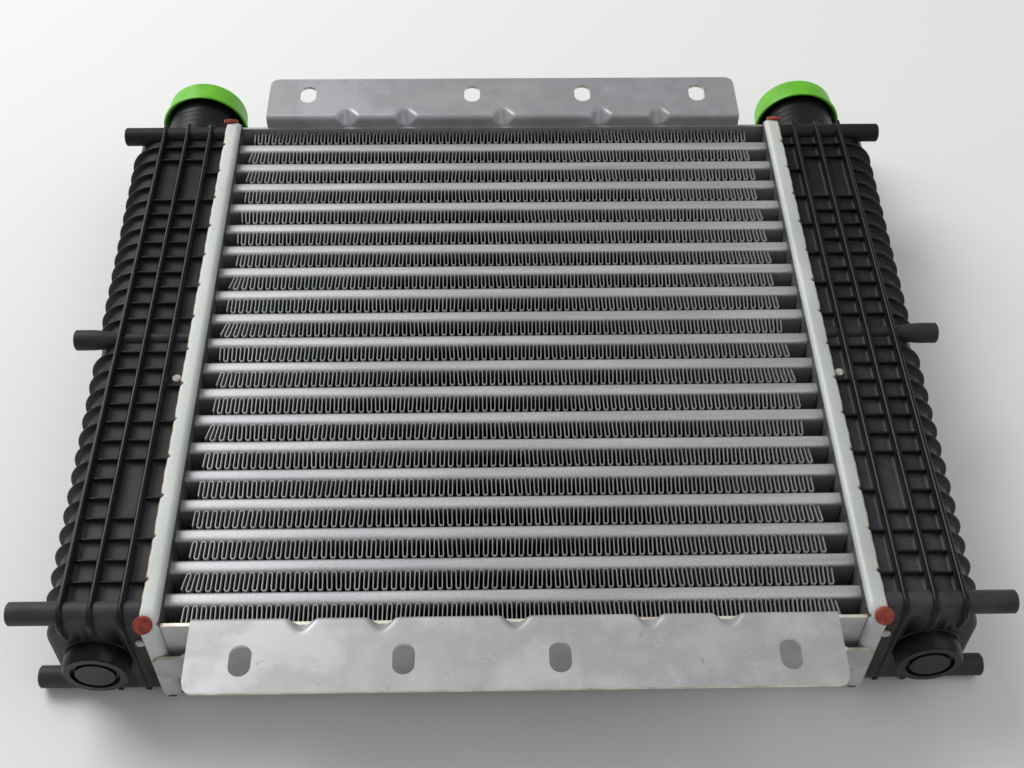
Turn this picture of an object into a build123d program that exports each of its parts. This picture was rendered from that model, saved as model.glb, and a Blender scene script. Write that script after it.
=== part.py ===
from build123d import *
import os
from math import cos, pi, radians, sin

os.makedirs("parts", exist_ok=True)

# An air-to-air intercooler that lies on its back: X runs along the charge-air tubes, Y across
# them towards the two ports, Z up out of the face that the cooling air enters.
# The origin is on the floor, below the centre of the whole part.

# Core: flat tubes with a corrugated fin in every gap and one outside each end tube
tube_count = 19
tube_thickness = 6.0
tube_depth = 50.0
tube_wall = 0.9
fin_height = 10.0
fin_sheet = 0.4
fin_waves = 6
fin_end_gap = 8.5
braze_gap = 0.05
nose_facets = 4

# Headers: pressed pans with a slot for every tube, crimped over the foot of each tank
header_gap = 292.0
header_sheet = 1.5
header_depth = 8.0
header_side_margin = 7.5
header_end_margin = 3.0
header_edge_bevel = 2.4
header_corner_radius = 8.0
corner_facets = 2
header_clearance = 0.1
crimp_lip = 3.0
tube_stand_through = 1.2

# Gaskets: one flat rubber ring between each header plate and tank foot
gasket_thickness = 1.6
gasket_width = 3.0
gasket_clearance = 0.1

# Tanks: ribbed mouldings that grow wider towards the port end
tank_wall = 3.0
tank_foot_thickness = 3.3
tank_width_near = 48.5
tank_width_far = 56.5
tank_shoulder_radius = 14.0
shoulder_facets = 2
cross_rib_height = 2.8
cross_rib_width = 1.6
cross_ribs_per_side = 13
rib_gap_outer = (10, 11)
rib_gap_inner = (-9, -8)
long_rib_height = 5.0
long_rib_width = 2.4
long_rib_spacing = 12.5
long_rib_first = 8.0

# Pegs: moulded on the outer side of each tank, each with a bar across the tank's face
peg_radius = 5.0
peg_free_length = 5.0
peg_end_x = 209.5
peg_below_rib_crest = 1.0
peg_from_end = 5.5
bar_radius = 4.6
bar_facets = 8
middle_bar_radius = 3.3

# Ports and blank bosses on the ends of the tanks
port_radius = 20.5
port_bore_radius = 17.5
port_length = 46.0
port_collar_height = 1.0
port_collar_width = 6.0
port_offset_x = 27.0
boss_radius = 14.0
boss_height = 9.0
boss_offset_x = 29.5

# Shipping caps pushed on the collars of the ports
cap_length = 13.0
cap_wall = 1.1
cap_end = 2.0
cap_clearance = 0.2

# Side plates: sheets outside the end fins, with a joggled tab onto each header
side_sheet = 1.5
side_overhang = 2.5
side_tab_height = 16.0
side_tab_lap = 4.0
side_tab_ramp = 6.0
lap_gap = 0.1

# Brackets: bent sheets with slotted flanges and a pressed dart at five places along the bend
bracket_sheet = 1.5
bracket_end_gap = 14.0
bracket_flange = 34.0
bracket_web = 24.0
bracket_rise = 9.5
bracket_bend_radius = 2.5
bracket_corner_radius = 5.0
slot_width = 9.0
slot_length = 14.0
slot_from_web = 20.0
slot_x = (-110.0, -45.0, 17.5, 110.0)
dart_x = (-87.0, -54.5, 0.0, 54.5, 87.0)
dart_width = 13.0
dart_reach = 7.0

# Corner plugs: rubber discs with a stem through the rounded corner of each header pan
plug_radius = 3.9
plug_sides = 12
plug_thickness = 2.0
plug_stem_radius = 1.8
plug_from_edge = 2.0
plug_clearance = 0.1

# Sizes and places that follow from the ones above
tube_pitch = tube_thickness + fin_height
core_half = (tube_count - 1) * tube_pitch / 2 + tube_thickness / 2 + fin_height
plate_x = header_gap / 2
plate_back_x = plate_x + header_sheet
fin_end_x = plate_x - fin_end_gap
bracket_end_x = plate_x - bracket_end_gap
header_end_x = plate_x + header_depth
header_half_z = tube_depth / 2 + header_side_margin
header_half_y = core_half + side_sheet + header_end_margin
pan_half_y = header_half_y - header_sheet
pan_half_z = header_half_z - header_sheet
pan_radius = header_corner_radius - header_sheet
pan_bevel = header_edge_bevel - header_sheet * (2 - 2 ** 0.5)
foot_half_y = pan_half_y - header_clearance
foot_half_z = pan_half_z - header_clearance
foot_x = plate_back_x + gasket_thickness
tank_half_y = pan_half_y - crimp_lip
tank_half_z = pan_half_z - crimp_lip
rest_height = tank_half_z + long_rib_height
tube_length = header_gap + 2 * (header_sheet + tube_stand_through)
cross_rib_pitch = tube_pitch * 2 / 3
long_rib_x = [header_end_x + long_rib_first + i * long_rib_spacing for i in range(3)]
peg_y = tank_half_y - peg_from_end
peg_z = rest_height - peg_below_rib_crest - peg_radius
peg_free_x = peg_end_x - peg_free_length
port_x = plate_back_x + port_offset_x
boss_x = plate_back_x + boss_offset_x
port_mouth_y = tank_half_y + port_length
cap_face_y = port_mouth_y + cap_clearance + cap_end
side_face_y = core_half + side_sheet
flange_top_z = tube_depth / 2 + bracket_rise
whole_middle_y = (cap_face_y - side_face_y - bracket_flange) / 2


def raised(shape):
    """Moves a piece from the core's centre to its place above the floor."""
    return Pos(0, -whole_middle_y, rest_height) * shape


def save(shape, name):
    """Writes one piece, in its place, as one file."""
    export_step(shape, f"parts/{name}.step")


def rounded_turn(radius, facets, first, last):
    """Points of a polygon that just encloses a round turn, from one angle to another."""
    step = (last - first) / facets
    corner = radius / cos(radians(step / 2))
    angles = [radians(first + (i + 0.5) * step) for i in range(facets)]
    return [(corner * cos(a), corner * sin(a)) for a in angles]


def tube_outline(grow=0.0):
    """The flat tube's section in the YZ plane: straight sides and faceted round noses."""
    straight = (tube_depth - tube_thickness) / 2
    nose = rounded_turn(tube_thickness / 2 + grow, nose_facets, 0, 180)
    upper = [(y, z + straight) for y, z in nose]
    lower = [(-y, -z) for y, z in upper]
    return Plane.YZ * make_face(Polyline(*upper, *lower, close=True))


def tube():
    """One flat tube, hollow from end to end, centred on the origin."""
    body = extrude(tube_outline(), tube_length / 2, both=True)
    hollow = Plane.YZ * Rectangle(tube_thickness - 2 * tube_wall, tube_depth - tube_thickness)
    return body - extrude(hollow, tube_length / 2, both=True)


def fin():
    """One corrugated fin: a folded sheet whose crests touch the tubes on both sides."""
    crest = fin_height / 2 - braze_gap
    step = fin_end_x / fin_waves
    stations = range(2 * fin_waves + 1)
    lean = fin_sheet * (1 + (2 * crest / step) ** 2) ** 0.5
    upper = [(-fin_end_x + i * step, crest if i % 2 else lean - crest) for i in stations]
    lower = [(x, y - lean) for x, y in upper]
    sheet = make_face(Polyline(*upper, *reversed(lower), close=True))
    return extrude(sheet, tube_depth / 2, both=True)


def pan_outline(half_y, half_z, radius):
    """A rectangle in the YZ plane whose rounded corners are faceted."""
    turn = rounded_turn(radius, corner_facets, 0, 90)
    corner = [(half_y - radius + y, half_z - radius + z) for y, z in turn]
    left = [(-y, z) for y, z in reversed(corner)]
    below = [(-y, -z) for y, z in corner + left]
    return Plane.YZ * make_face(Polyline(*corner, *left, *below, close=True))


def header():
    """The right header: a pressed pan with a rounded rim, tube slots and a crimped lip."""
    outside = extrude(pan_outline(header_half_y, header_half_z, header_corner_radius), header_depth)
    rim = outside.faces().sort_by(Axis.X)[0].edges()
    outside = Pos(plate_x, 0, 0) * chamfer(rim, header_edge_bevel)
    inside = extrude(pan_outline(pan_half_y, pan_half_z, pan_radius), header_depth - 2 * header_sheet)
    inside = chamfer(inside.faces().sort_by(Axis.X)[0].edges(), pan_bevel)
    mouth = Plane.YZ * Rectangle(2 * (tank_half_y + lap_gap), 2 * (tank_half_z + lap_gap))
    mouth = extrude(mouth, header_depth)
    body = outside - Pos(plate_back_x, 0, 0) * inside - Pos(plate_back_x, 0, 0) * mouth
    slot = extrude(tube_outline(braze_gap), header_sheet, both=True)
    for y in tube_places():
        body -= Pos(plate_x + header_sheet / 2, y, 0) * slot
    for side in (-1, 1):
        body -= corner_place(side) * stem(plug_clearance)
    return body


def tube_places():
    """The middle of every tube along Y."""
    middle = (tube_count - 1) / 2
    return [(i - middle) * tube_pitch for i in range(tube_count)]


def fin_places():
    """The middle of every fin along Y, the two outer ones included."""
    middle = tube_count / 2
    return [(i - middle) * tube_pitch for i in range(tube_count + 1)]


def corner_place(side):
    """A place on the rounded upper corner of the header pan, with Z pointing out of it."""
    reach = header_corner_radius * cos(pi / 4)
    y = header_half_y - header_corner_radius + reach
    z = header_half_z - header_corner_radius + reach
    return Pos(header_end_x - plug_from_edge, side * y, z) * Rot(-45 * side, 0, 0)


def corner_plug(side):
    """A round rubber plug on the right header's upper corner."""
    disc = extrude(RegularPolygon(plug_radius, plug_sides), plug_thickness)
    return corner_place(side) * (disc + stem(0.0))


def stem(grow):
    """The six-sided stem of a corner plug, which fills a hole through the sheet."""
    return extrude(RegularPolygon(plug_stem_radius + grow, 6), -(header_sheet + grow))


def gasket():
    """The ring that the right tank's foot presses onto the header plate."""
    half_y = pan_half_y - pan_bevel - gasket_clearance
    half_z = pan_half_z - pan_bevel - gasket_clearance
    outer = pan_outline(half_y, half_z, pan_radius - pan_bevel)
    inner = Plane.YZ * Rectangle(2 * (half_y - gasket_width), 2 * (half_z - gasket_width))
    return Pos(plate_back_x, 0, 0) * extrude(outer - inner, gasket_thickness)


def tank_block(grow, height, half_y):
    """The right tank's body grown outwards: a section with rounded shoulders, wider at the far end."""
    radius = tank_shoulder_radius + grow
    turn = rounded_turn(radius, shoulder_facets, 90, 0)
    edge_x = plate_back_x + tank_width_near + grow
    upper = [(edge_x - radius + x, height - radius + z) for x, z in turn]
    lower = [(x, -z) for x, z in reversed(upper)]
    widening = tank_width_far - tank_width_near
    start = foot_x - widening
    outline = Polyline((start, height), *upper, *lower, (start, -height), close=True)
    along = Vector(widening, 2 * tank_half_y, 0)
    section = Pos(0, -tank_half_y, 0) * make_face(Plane.XZ * outline)
    block = extrude(section, along.length, dir=along)
    keep = Box(peg_end_x, 2 * half_y, 2 * height, align=(Align.MIN, Align.CENTER, Align.CENTER))
    return block & Pos(foot_x, 0, 0) * keep


def cross_ribs():
    """The ribs across the tank's upper face and round its outer side, cut from thin slabs."""
    block = tank_block(cross_rib_height, tank_half_z + cross_rib_height, tank_half_y)
    slabs = []
    for k in range(-cross_ribs_per_side, cross_ribs_per_side + 1):
        if k % 2:
            slabs.append(rib_slab(k, header_end_x, long_rib_x[0], tank_half_z))
        if k and k not in rib_gap_outer:
            slabs.append(rib_slab(k, long_rib_x[0], long_rib_x[2], tank_half_z))
        if k:
            slabs.append(rib_slab(k, long_rib_x[2], peg_end_x, -rest_height))
    ribs = block & Compound(children=slabs)
    gap = Box(
        long_rib_spacing,
        len(rib_gap_inner) * cross_rib_pitch,
        rest_height,
        align=(Align.MIN, Align.CENTER, Align.MIN),
    )
    middle = sum(rib_gap_inner) / len(rib_gap_inner) * cross_rib_pitch
    return ribs - Pos(long_rib_x[0], middle, tank_half_z) * gap


def rib_slab(k, start, end, bottom):
    """The slab of cross rib number k, from start to end along X and up from a lowest height."""
    slab = Box(
        end - start, cross_rib_width, 2 * rest_height, align=(Align.MIN, Align.CENTER, Align.MIN)
    )
    return Pos(start, k * cross_rib_pitch, bottom) * slab


def long_rib(x, side):
    """One rib along the tank, on the upper or the lower face."""
    rib = Box(long_rib_width, 2 * tank_half_y, long_rib_height)
    return Pos(x, 0, side * (tank_half_z + long_rib_height / 2)) * rib


def tank():
    """The right tank: a hollow ribbed moulding with a foot, pegs, a port and a blank boss."""
    body = tank_block(0, tank_half_z, tank_half_y) + cross_ribs()
    body += Pos(foot_x, 0, 0) * extrude(
        pan_outline(foot_half_y, foot_half_z, pan_radius - header_clearance),
        tank_foot_thickness,
    )
    for x in long_rib_x:
        body += long_rib(x, 1)
        body += long_rib(x, -1)
    for y, z, radius in (
        (-peg_y, peg_z, bar_radius),
        (-peg_y, -peg_z, bar_radius),
        (peg_y, peg_z, bar_radius),
        (0, peg_z, middle_bar_radius),
    ):
        low_bar = bar(radius, header_end_x + lap_gap, long_rib_x[2])
        body += Pos(0, y, z) * (low_bar + bar(bar_radius, long_rib_x[2], peg_free_x) + peg_end())
    body += Pos(port_x, tank_half_y, 0) * Rot(-90, 0, 0) * port_stub()
    body += Pos(boss_x, -tank_half_y, 0) * Rot(90, 0, 0) * blank_boss()
    body -= tank_block(-tank_wall, tank_half_z - tank_wall, tank_half_y - tank_wall)
    return body - Pos(port_x, tank_half_y, 0) * Rot(90, 0, 0) * Cylinder(port_bore_radius, port_length)


def bar(radius, start, end):
    """A stretch of a bar along X, with a faceted round section."""
    section = Plane.YZ * make_face(Polyline(*rounded_turn(radius, bar_facets, 0, 360), close=True))
    return Pos(start, 0, 0) * extrude(section, end - start)


def peg_end():
    """The round free end of a peg, which a grommet slips over."""
    end = Cylinder(peg_radius, peg_free_length, align=(Align.CENTER, Align.CENTER, Align.MIN))
    return Pos(peg_free_x, 0, 0) * Rot(0, 90, 0) * end


def port_stub():
    """The hose stub along Z, with a collar round its mouth that holds a pushed-on hose."""
    collar_radius = port_radius + port_collar_height
    outline = Polyline(
        (port_bore_radius, -tank_wall / 2),
        (port_radius, -tank_wall / 2),
        (port_radius, port_length - port_collar_width),
        (collar_radius, port_length - port_collar_width),
        (collar_radius, port_length),
        (port_bore_radius, port_length),
        close=True,
    )
    return revolve(Plane.XZ * make_face(outline), Axis.Z)


def blank_boss():
    """The blank round boss along Z, where a second port can be opened."""
    return Cylinder(boss_radius, boss_height, align=(Align.CENTER, Align.CENTER, Align.MIN))


def port_cap():
    """The cap on the right port: a shallow cup, open towards the tank."""
    inner = port_radius + port_collar_height + cap_clearance
    outline = Polyline(
        (0, 0),
        (inner + cap_wall, 0),
        (inner + cap_wall, -cap_length),
        (inner, -cap_length),
        (inner, -cap_end),
        (0, -cap_end),
        close=True,
    )
    cup = revolve(Plane.XZ * make_face(outline), Axis.Z)
    return Pos(port_x, cap_face_y, 0) * Rot(-90, 0, 0) * cup


def side_plate():
    """The far side plate: a flat sheet with a joggled tab lapped onto each header's end wall."""
    half_length = plate_x - lap_gap
    half_z = tube_depth / 2 + side_overhang
    sheet = Pos(0, core_half + side_sheet / 2, 0) * Box(2 * half_length, side_sheet, 2 * half_z)
    inner_y, lap_y = core_half, header_half_y + lap_gap
    ramp_end = plate_x + header_edge_bevel
    ramp_start = ramp_end - side_tab_ramp - (lap_y - inner_y)
    tab = Polyline(
        (ramp_start, inner_y),
        (ramp_end - side_tab_ramp / 2, lap_y),
        (ramp_end + side_tab_lap, lap_y),
        (ramp_end + side_tab_lap, lap_y + side_sheet),
        (ramp_end - side_tab_ramp / 2 - side_sheet / 2, lap_y + side_sheet),
        (ramp_start - side_sheet / 2, inner_y + side_sheet),
        close=True,
    )
    tab = extrude(make_face(tab), side_tab_height / 2, both=True)
    return sheet + tab + mirror(tab, Plane.YZ)


def bracket():
    """The far bracket: web against the side plate, flange outwards, slots and pressed darts."""
    inner, outer = side_face_y, side_face_y + bracket_flange
    bottom = flange_top_z - bracket_web
    section = Polyline(
        (inner, bottom),
        (inner, flange_top_z),
        (outer, flange_top_z),
        (outer, flange_top_z - bracket_sheet),
        (inner + bracket_sheet, flange_top_z - bracket_sheet),
        (inner + bracket_sheet, bottom),
        close=True,
    )
    body = extrude(Plane.YZ * make_face(section), bracket_end_x, both=True)
    bend = body.edges().filter_by(Axis.X)
    at_top = bend.filter_by_position(Axis.Z, flange_top_z - 0.01, flange_top_z + 0.01)
    body = fillet(at_top.sort_by(Axis.Y)[0], bracket_bend_radius)
    corners = body.edges().filter_by(Axis.Z).sort_by(Axis.Y)[-2:]
    body = fillet(corners, bracket_corner_radius)
    slot = Rot(0, 0, 90) * SlotOverall(slot_length, slot_width)
    slot = extrude(slot, bracket_sheet * 2, both=True)
    for x in slot_x:
        body -= Pos(-x, inner + slot_from_web, flange_top_z) * slot
    for x in dart_x:
        body = body + dart(x, bracket_sheet) - dart(x, 0.0)
    return body


def dart(x, inset):
    """The space of a pressed dart across the bend: a four-sided wedge with an edge along the bend."""
    on_flange = make_face(
        Polyline((-dart_width / 2, 0), (dart_width / 2, 0), (0, dart_reach), close=True)
    )
    wedge = loft([on_flange, Vertex(0, 0, -dart_reach)], ruled=True)
    return Pos(x, side_face_y + inset, flange_top_z - inset) * wedge


pieces = {
    "header_right": header(),
    "gasket_right": gasket(),
    "tank_right": tank(),
    "port_cap_right": port_cap(),
    "corner_plug_near_right": corner_plug(-1),
    "corner_plug_far_right": corner_plug(1),
}
one_tube, one_fin = tube(), fin()
for number, y in enumerate(tube_places(), 1):
    save(raised(Pos(0, y, 0) * one_tube), f"tube_{number:02d}")
for number, y in enumerate(fin_places(), 1):
    save(raised(Pos(0, y, 0) * one_fin), f"fin_{number:02d}")
for name, piece in pieces.items():
    save(raised(piece), name)
    save(raised(mirror(piece, Plane.YZ)), name.replace("right", "left"))
for name, piece in (("side_plate", side_plate()), ("bracket", bracket())):
    save(raised(piece), f"{name}_far")
    save(raised(Rot(0, 0, 180) * piece), f"{name}_near")
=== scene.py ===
"""The looks of an aluminium and plastic intercooler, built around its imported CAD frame."""
from math import cos, pi, radians, sin

import bmesh
import bpy
import numpy as np
from mathutils import Matrix, Vector


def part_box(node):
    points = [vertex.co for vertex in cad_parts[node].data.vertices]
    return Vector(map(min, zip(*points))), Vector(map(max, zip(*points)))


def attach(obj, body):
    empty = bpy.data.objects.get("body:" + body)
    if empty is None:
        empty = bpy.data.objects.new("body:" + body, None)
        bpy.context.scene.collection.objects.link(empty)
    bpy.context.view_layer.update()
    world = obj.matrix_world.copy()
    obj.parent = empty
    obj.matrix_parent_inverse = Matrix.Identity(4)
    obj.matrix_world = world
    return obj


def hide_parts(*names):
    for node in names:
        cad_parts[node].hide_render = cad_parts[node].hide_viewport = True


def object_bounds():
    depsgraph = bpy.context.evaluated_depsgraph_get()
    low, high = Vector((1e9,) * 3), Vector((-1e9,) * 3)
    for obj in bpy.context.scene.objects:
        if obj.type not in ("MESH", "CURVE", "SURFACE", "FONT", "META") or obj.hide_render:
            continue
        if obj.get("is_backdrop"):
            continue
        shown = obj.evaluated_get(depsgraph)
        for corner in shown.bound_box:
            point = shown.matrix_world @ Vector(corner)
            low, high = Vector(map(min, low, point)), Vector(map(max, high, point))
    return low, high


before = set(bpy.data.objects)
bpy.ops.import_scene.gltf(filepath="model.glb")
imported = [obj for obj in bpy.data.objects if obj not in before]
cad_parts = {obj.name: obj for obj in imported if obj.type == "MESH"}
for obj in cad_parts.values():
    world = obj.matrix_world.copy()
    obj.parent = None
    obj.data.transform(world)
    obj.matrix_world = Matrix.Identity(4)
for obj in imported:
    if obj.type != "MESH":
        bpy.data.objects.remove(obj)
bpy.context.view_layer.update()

# Flat tubes: extruded aluminium tubes with round noses, brazed into both headers. They carry the
# charge air from tank to tank. The flux leaves a dull silver skin with faint streaks along them.
tube_nodes = sorted(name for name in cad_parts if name.startswith("tube_"))
tube_low, tube_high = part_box(tube_nodes[0])
middle_z = (tube_low.z + tube_high.z) / 2
tube_wall = 0.0009
tube_nose_steps = 18
tube_swell = 0.0003
tube_nose_height = 0.0022
tube_nose_fullness = 0.62
tube_dull_grey = (0.44, 0.445, 0.46)
tube_bright_grey = (0.58, 0.585, 0.6)


def grid_faces(rows, columns, close_rows=False, close_columns=False):
    """Quads of a grid of points numbered row by row; closing joins the last line to the first."""
    row = np.arange(rows if close_rows else rows - 1)[:, None]
    column = np.arange(columns if close_columns else columns - 1)
    next_row, next_column = (row + 1) % rows, (column + 1) % columns
    corners = (
        row * columns + column,
        row * columns + next_column,
        next_row * columns + next_column,
        next_row * columns + column,
    )
    return np.stack(np.broadcast_arrays(*corners), axis=-1).reshape(-1, 4)


def patch(points, close_rows=False, close_columns=False, tone=0.0, material=0):
    """A grid of points as one patch: its points, quads, tone at each point and material number."""
    rows, columns = points.shape[:2]
    faces = grid_faces(rows, columns, close_rows, close_columns)
    tones = np.broadcast_to(np.asarray(tone, float), (rows, columns)).reshape(-1)
    return points.reshape(-1, 3), faces, tones, np.full(len(faces), material)


def new_object(name, data):
    """A new object in the scene, for a mesh, a lamp or a camera."""
    made = bpy.data.objects.new(name, data)
    bpy.context.scene.collection.objects.link(made)
    return made


def make_piece(name, patches, materials, node, sharp=40.0, mirrored=False):
    """Joins patches into one mesh with outward faces, which stands for a CAD node."""
    start = 0
    points, faces, tones, numbers = [], [], [], []
    for patch_points, patch_faces, patch_tones, patch_numbers in patches:
        points.append(patch_points)
        faces.append(patch_faces + start)
        tones.append(patch_tones)
        numbers.append(patch_numbers)
        start += len(patch_points)
    points = np.concatenate(points)
    if mirrored:
        points = points * (-1, 1, 1)
    mesh = bpy.data.meshes.new(name)
    mesh.from_pydata(points.tolist(), [], np.concatenate(faces).tolist())
    mesh.attributes.new("tone", "FLOAT", "POINT").data.foreach_set("value", np.concatenate(tones))
    mesh.polygons.foreach_set("material_index", np.concatenate(numbers))
    for material in materials:
        mesh.materials.append(material)
    work = bmesh.new()
    work.from_mesh(mesh)
    bmesh.ops.remove_doubles(work, verts=work.verts, dist=1e-7)
    bmesh.ops.dissolve_degenerate(work, edges=work.edges, dist=1e-7)
    loose = [vertex for vertex in work.verts if not vertex.link_faces]
    bmesh.ops.delete(work, geom=loose, context="VERTS")
    bmesh.ops.recalc_face_normals(work, faces=work.faces)
    work.to_mesh(mesh)
    work.free()
    mesh.polygons.foreach_set("use_smooth", np.ones(len(mesh.polygons), bool))
    mesh.set_sharp_from_angle(angle=radians(sharp))
    piece = new_object(name, mesh)
    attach(piece, "root")
    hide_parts(node)


def new_finish(name, color, roughness, metallic=0.0):
    """A node material with its Principled shader; returns the material, its nodes and its links."""
    material = bpy.data.materials.new(name)
    material.use_nodes = True
    nodes, links = material.node_tree.nodes, material.node_tree.links
    shader = nodes["Principled BSDF"]
    shader.inputs["Base Color"].default_value = (*color, 1)
    shader.inputs["Roughness"].default_value = roughness
    shader.inputs["Metallic"].default_value = metallic
    return material, nodes, links


def object_noise(nodes, links, scale, stretch=(1, 1, 1), detail=4.0, rough=0.55):
    """A noise on Object coordinates, with its pattern stretched along the axes."""
    place = nodes.new("ShaderNodeTexCoord")
    mapping = nodes.new("ShaderNodeMapping")
    mapping.inputs["Scale"].default_value = stretch
    noise = nodes.new("ShaderNodeTexNoise")
    noise.inputs["Scale"].default_value = scale
    noise.inputs["Detail"].default_value = detail
    noise.inputs["Roughness"].default_value = rough
    links.new(place.outputs["Object"], mapping.inputs["Vector"])
    links.new(mapping.outputs["Vector"], noise.inputs["Vector"])
    return noise.outputs["Fac"]


def ramp(nodes, links, source, stops):
    """A colour ramp over a value; each stop is its place and its colour."""
    node = nodes.new("ShaderNodeValToRGB")
    while len(node.color_ramp.elements) < len(stops):
        node.color_ramp.elements.new(0.5)
    for element, (position, color) in zip(node.color_ramp.elements, stops):
        element.position = position
        element.color = (*color, 1)
    links.new(source, node.inputs["Fac"])
    return node.outputs["Color"]


def mix(nodes, links, kind, share, first, second):
    """Mixes two colours by a share, each given as a value or as a socket."""
    node = nodes.new("ShaderNodeMix")
    node.data_type = "RGBA"
    node.blend_type = kind
    for socket, value in ((node.inputs[0], share), (node.inputs[6], first), (node.inputs[7], second)):
        if isinstance(value, bpy.types.NodeSocket):
            links.new(value, socket)
        elif isinstance(value, float):
            socket.default_value = value
        else:
            socket.default_value = (*value, 1)
    return node.outputs[2]


def spread(nodes, links, source, low, high):
    """Maps a value from 0..1 to a range."""
    node = nodes.new("ShaderNodeMapRange")
    node.inputs["To Min"].default_value = low
    node.inputs["To Max"].default_value = high
    links.new(source, node.inputs["Value"])
    return node.outputs["Result"]


def add_bump(nodes, links, source, strength, depth):
    """Turns a value into small relief, depth metres high, on the shader's normal."""
    bump = nodes.new("ShaderNodeBump")
    bump.inputs["Strength"].default_value = strength
    bump.inputs["Distance"].default_value = depth
    links.new(source, bump.inputs["Height"])
    links.new(bump.outputs["Normal"], nodes["Principled BSDF"].inputs["Normal"])


def tube_finish():
    """Brazed aluminium: streaks along X, small dull flecks and a fine drawn grain."""
    material, nodes, links = new_finish("tube_aluminium", (0.5, 0.505, 0.515), 0.45, 0.7)
    shader = nodes["Principled BSDF"]
    streaks = object_noise(nodes, links, 60, (0.25, 3, 3))
    flecks = object_noise(nodes, links, 900, detail=2)
    base = ramp(nodes, links, streaks, [(0.3, tube_dull_grey), (0.7, tube_bright_grey)])
    flecked = ramp(nodes, links, flecks, [(0.35, (0.8, 0.8, 0.8)), (0.55, (1, 1, 1))])
    links.new(mix(nodes, links, "MULTIPLY", 0.6, base, flecked), shader.inputs["Base Color"])
    links.new(spread(nodes, links, streaks, 0.4, 0.56), shader.inputs["Roughness"])
    add_bump(nodes, links, flecks, 0.15, 0.0001)
    return material


def tube_loop(shrink):
    """The tube's outline in the YZ plane: flat flanks joined by noses.

    Over half a turn a nose is as wide as the cosine, and as high as the sine, both raised to the
    fullness, a power below one, which makes the nose blunter than a half circle.
    """
    half_width = (tube_high.y - tube_low.y) / 2 + tube_swell - shrink
    half_depth = (tube_high.z - tube_low.z) / 2 - shrink
    angle = np.linspace(0, pi, tube_nose_steps)
    across = np.sign(np.cos(angle)) * np.abs(np.cos(angle)) ** tube_nose_fullness
    rise = half_depth - tube_nose_height * (1 - np.sin(angle) ** tube_nose_fullness)
    y = np.concatenate([half_width * across, -half_width * across])
    z = np.concatenate([rise, -rise])
    return y, z


tube_material = tube_finish()
for tube_node in tube_nodes:
    low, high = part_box(tube_node)
    rings = []
    for ring_x, shrink in ((low.x, 0), (high.x, 0), (high.x, tube_wall), (low.x, tube_wall)):
        ring_y, ring_z = tube_loop(shrink)
        ring_y = ring_y + (low.y + high.y) / 2
        rings.append(np.stack([np.full_like(ring_y, ring_x), ring_y, ring_z + middle_z], axis=-1))
    skin = patch(np.stack(rings), close_rows=True, close_columns=True)
    make_piece(f"flat_{tube_node}", [skin], [tube_material], tube_node)

# Fins: thin sheet folded into about seventy narrow loops, whose round crests are brazed to the
# tubes on both sides. The cut edge of the sheet is bright; the walls carry painted shade, darker
# inside the core. The last folds at each end lean and splay.
fin_nodes = sorted(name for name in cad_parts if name.startswith("fin_"))
fin_period = 0.0038
fin_sheet = 0.0004
fin_crest_steps = 6
fin_lean = 0.00014
fin_lean_waves = ((45, 1.0), (118, 0.7), (260, 0.5))
fin_splay = 0.0009
fin_splay_reach = 0.006
fin_splay_range = (-0.4, 1)
fin_shift = 0.0016
fin_ragged_end = 0.0018
fin_shade_depth = 0.006
# Painted shade: the walls go from the mouth grey at the core's faces to this dark grey inside.
fin_painted_shade_grey = (0.08, 0.088, 0.086)
fin_mouth_grey = (0.36, 0.385, 0.375)
fin_dull_edge = (0.23, 0.245, 0.235)
fin_bright_edge = (0.37, 0.385, 0.375)


def fin_wall_painted_shade_finish():
    """The fin's walls: dull grey sheet with painted shade, darker towards the middle of the core's
    depth.
    """
    material, nodes, links = new_finish("fin_sheet_wall_painted_shade", (0.1, 0.105, 0.11), 0.55, 0.3)
    shader = nodes["Principled BSDF"]
    tone = nodes.new("ShaderNodeAttribute")
    tone.attribute_name = "tone"
    # The tone mixes in the painted shade, dark inside the core.
    shade = ramp(nodes, links, tone.outputs["Fac"], [(0, fin_painted_shade_grey), (1, fin_mouth_grey)])
    links.new(shade, shader.inputs["Base Color"])
    louvres = object_noise(nodes, links, 500, (1, 1, 0.15), detail=1)
    add_bump(nodes, links, louvres, 0.4, 0.0002)
    return material


def patchy_finish(name, roughness, metallic, scale, stops):
    """A finish whose colour wanders between the stops' colours, by a noise of that scale."""
    material, nodes, links = new_finish(name, stops[-1][1], roughness, metallic)
    patches = object_noise(nodes, links, scale)
    links.new(ramp(nodes, links, patches, stops), nodes["Principled BSDF"].inputs["Base Color"])
    return material


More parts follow.
